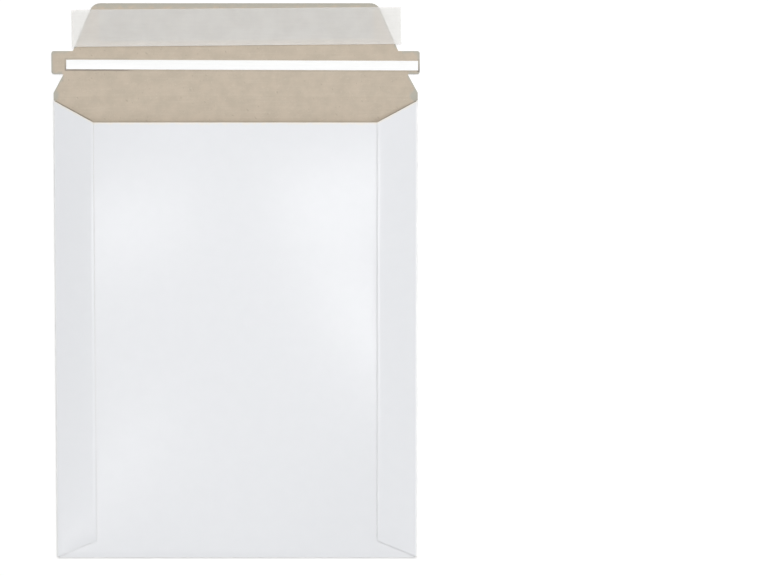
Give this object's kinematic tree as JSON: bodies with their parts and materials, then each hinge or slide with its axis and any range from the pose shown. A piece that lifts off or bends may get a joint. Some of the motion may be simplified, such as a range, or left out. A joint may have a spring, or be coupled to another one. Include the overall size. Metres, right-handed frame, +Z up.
{
  "type": "rigid mailer",
  "caption": "Flat paperboard mailer with glued side flaps, an open mouth and a closure flap that carries pull tabs, a tear tape and an adhesive strip under its liner.",
  "frame": {"origin": "middle of the rear panel's outer face, which lies down", "axes": "+X to the right across the front panel, +Y from the bottom fold towards the closure flap, +Z up out of the front panel"},
  "size_m": [0.231, 0.3502, 0.0064],
  "materials": {
    "white_board": "matte",
    "brown_board": "matte",
    "tear_tape": "satin",
    "seal_adhesive": "gloss",
    "release_liner": "satin",
    "seam_glue": "satin"
  },
  "bodies": {
    "pocket": {"pocket_board": "white_board", "seam_glue_left": "seam_glue", "seam_glue_right": "seam_glue"},
    "flap": {"closure_flap": "brown_board", "tear_tape": "tear_tape", "seal_adhesive": "seal_adhesive", "release_liner": "release_liner"}
  },
  "joints": [
    {"name": "flap_fold", "type": "hinge", "parent": "pocket", "child": "flap", "pos_m": [0, 0.14605, 0.0014], "axis": [1, 0, 0], "range_deg": [0, 163]}
  ]
}
